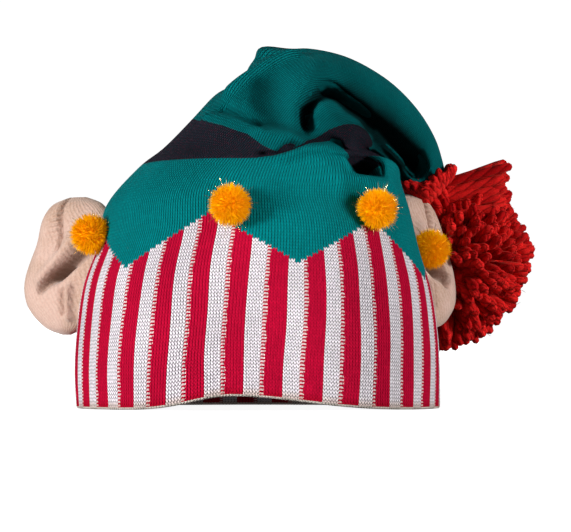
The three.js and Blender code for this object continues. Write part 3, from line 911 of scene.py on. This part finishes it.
def pompom_yarn(centre, tree):
    """The ball's yarn ends, with the ways, ends and bends of its strands."""
    shares = np.array([0.30, 0.50, 0.68, 0.82, 0.93, 0.985, 1.0])
    ways = unit(spread_directions(POMPOM_STRANDS) + chance.normal(0, 0.12, (POMPOM_STRANDS, 3)))
    flat = np.clip(ways @ unit(POMPOM_FLAT), 0, 1) ** 3
    reach = POMPOM_SIZE / 2 * (chance.uniform(0.88, 1.00, POMPOM_STRANDS) - 0.12 * flat)
    aside = unit(np.cross(ways, chance.normal(0, 1, ways.shape)))
    bend = aside * chance.uniform(0, 11, (len(ways), 1))
    bend[:, 2] -= 3.0
    tips = ways * reach[:, None] + bend
    lengths = np.linalg.norm(tips, axis=1)
    fit = room_for(centre, tree, unit(tips), lengths, YARN_SPARE) / lengths
    fit = np.minimum(fit, room_for(centre, tree, ways, reach * 0.8, YARN_SPARE) / (reach * 0.8))
    keep = fit > 0.4
    ways, ends, bend = ways[keep], (reach * fit)[keep], (bend * fit[:, None])[keep]
    paths = centre + ways[:, None] * (ends[:, None] * shares)[..., None]
    paths = paths + bend[:, None] * (shares ** 2)[None, :, None]
    radii = yarn_radii([0.8, 0.95, 1.0, 1.0, 0.97, 0.72, 0.15], len(ways), 2.1, 2.7)
    return tubes(paths, radii, YARN_SIDES, 0), ways, ends, bend


def pompom_collar():
    """Yarn that lies over the tube's end."""
    count = COLLAR_STRANDS
    turns = np.linspace(0, 2 * np.pi, count, endpoint=False) + chance.normal(0, 0.05, count)
    most = np.interp(np.degrees(turns) % 360, *COLLAR_ROWS, period=360)[:, None]
    covered = most * chance.uniform(0.75, 1.15, (count, 1)) * np.array([0, 0.35, 0.7, 0.9, 1.0])
    rows = LAST_ROW - covered
    out = directions(smooth, turns[:, None], rows)[2]
    lift = chance.uniform(0, 2.5, (count, 1)) * np.array([0, 0.2, 0.6, 0.9, 1])
    loose = np.array([2.0, 2.4, 2.6, 2.8, 3.0]) + lift
    on_tube = cloth(turns[:, None], rows) + out * loose[..., None]
    foot = tip_point() + (on_tube[:, :1] - tip_point()) * np.array([0.1, 0.75])[:, None]
    radii = yarn_radii([0.8, 1, 1, 1, 1, 0.75, 0.2], count, 2.0, 2.6)
    return tubes(np.concatenate([foot, on_tube], 1), radii, YARN_SIDES, 0)


def pompom_tuft(centre):
    """Loose strands that stand out at the top."""
    count = TUFT["strands"]
    spread = chance.uniform(-1, 1, (count, 1))
    rise = chance.uniform(0, 1, (count, 1))
    start = centre + TUFT["start"] + spread * TUFT["across"] + rise * TUFT["up"]
    end = start + TUFT["way"] + rise * TUFT["fan"] + chance.normal(0, 1.6, (count, 3))
    steps = np.array([0, 0.3, 0.6, 0.85, 0.97, 1.0])[None, :, None]
    paths = start[:, None] + (end - start)[:, None] * steps
    return tubes(paths, yarn_radii([0.8, 1, 1, 1, 0.85, 0.3], count, 2.1, 2.6), YARN_SIDES, 0)


def pompom_hairs(centre, ways, ends, bend):
    """Fine hairs on the yarn."""
    pick = chance.integers(0, len(ways), POMPOM_HAIRS)
    foot = chance.uniform(0.55, 1.0, POMPOM_HAIRS)
    start = centre + ways[pick] * (ends[pick] * foot)[:, None] + bend[pick] * (foot ** 2)[:, None]
    way = unit(chance.normal(0, 1, (POMPOM_HAIRS, 3)) + 1.1 * ways[pick])
    start = start + unit(np.cross(ways[pick], np.cross(way, ways[pick]))) * 2.0
    paths = start[:, None] + way[:, None] * (np.array([0, 0.6, 1.0]) * 2.4)[None, :, None]
    return tubes(paths, np.tile([0.13, 0.11, 0.03], (POMPOM_HAIRS, 1)), 3, 0)


def pompom_core(centre, tree):
    ways = spread_directions(POMPOM_CORE_STRANDS)
    ends = room_for(centre, tree, ways, np.full(len(ways), POMPOM_SIZE / 2 * 0.72), 3)
    paths = centre + ways[:, None] * (ends[:, None] * np.array([0.05, 0.5, 0.85, 1.0]))[..., None]
    return tubes(paths, np.tile([3, 6, 6.5, 0.5], (len(ways), 1)), YARN_SIDES, 0)


def make_pompom():
    """A ball of thick yarn ends, which gives way where it leans on its neighbours."""
    centre = pompom_centre()
    tree = bvh_of("ear_left", "knit_body")
    yarn, ways, ends, bend = pompom_yarn(centre, tree)
    collar = pompom_collar()
    tuft = pompom_tuft(centre)
    hairs = pompom_hairs(centre, ways, ends, bend)
    parts = [pompom_core(centre, tree), yarn, collar, tuft, hairs]
    make_piece("pompom_strands", parts, ["pompom"], [yarn_material()])


# Stage

def make_stage():
    """A pale floor that curves up behind."""
    profile = [
        (-4, 0), (1.2, 0), (1.7, 0.04), (2.1, 0.18), (2.4, 0.42), (2.55, 0.8), (2.6, 1.3), (2.6, 4),
    ]
    points = [(x, y, z) for y, z in profile for x in (-4, 4)]
    faces = [(2 * k, 2 * k + 1, 2 * k + 3, 2 * k + 2) for k in range(len(profile) - 1)]
    mesh = bpy.data.meshes.new("floor")
    mesh.from_pydata(points, [], faces)
    mesh.shade_smooth()
    floor = bpy.data.objects.new("floor", mesh)
    bpy.context.scene.collection.objects.link(floor)
    n = Nodes("floor_paint", 0.9, 0.0)
    n.shader.inputs["Emission Color"].default_value = (1, 1, 1, 1)
    n.shader.inputs["Emission Strength"].default_value = 0.93
    n.finish((0.3, 0.3, 0.3), n.noise(60, 2.0), 0.05, 0.05)
    mesh.materials.append(n.material)
    floor.visible_diffuse = False
    floor.visible_glossy = False


def aim(thing, place, target):
    thing.location = place
    thing.rotation_mode = "QUATERNION"
    thing.rotation_quaternion = (Vector(target) - Vector(place)).to_track_quat("-Z", "Y")
    bpy.context.scene.collection.objects.link(thing)


def make_light(name, place, power, size, glossy=True):
    light = bpy.data.lights.new(name, "AREA")
    light.energy = power
    light.size = size
    lamp = bpy.data.objects.new(name, light)
    lamp.visible_glossy = glossy
    aim(lamp, place, LIGHT_TARGET)


def make_camera():
    camera = bpy.data.cameras.new("camera")
    camera.sensor_width = CAMERA_FILM
    camera.lens = CAMERA_FILM * CAMERA_DISTANCE / SEEN_WIDTH
    holder = bpy.data.objects.new("camera", camera)
    aim(holder, tuple(placed(CAMERA_PLACE)), tuple(placed(CAMERA_TARGET)))
    bpy.context.scene.camera = holder


def make_lights():
    world = bpy.data.worlds.new("studio")
    bpy.context.scene.world = world
    world.use_nodes = True
    world.node_tree.nodes["Background"].inputs[0].default_value = (1, 1, 1, 1)
    tree = world.node_tree
    where = tree.nodes.new("ShaderNodeTexCoord")
    split = tree.nodes.new("ShaderNodeSeparateXYZ")
    level = tree.nodes.new("ShaderNodeMapRange")
    tree.links.new(where.outputs["Generated"], split.inputs[0])
    tree.links.new(split.outputs[2], level.inputs["Value"])
    for name, value in SKY.items():
        level.inputs[name].default_value = value
    tree.links.new(level.outputs[0], tree.nodes["Background"].inputs[1])
    make_light("key", *KEY_LIGHT)
    make_light("fill", *FILL_LIGHT)
    make_light("back", *BACK_LIGHT, glossy=False)
    bpy.context.scene.view_settings.view_transform = "Standard"


make_camera()
make_stage()
make_lights()
make_knit()
plush = plush_material()
make_ear("ear_right", -1, plush)
make_ear("ear_left", 1, plush)
bobble_materials = [fluff_material(), tinsel_material()]
for number, (angle, row) in enumerate(BOBBLES, 1):
    make_bobble(f"bobble_{number}", angle, row, bobble_materials)
make_pompom()
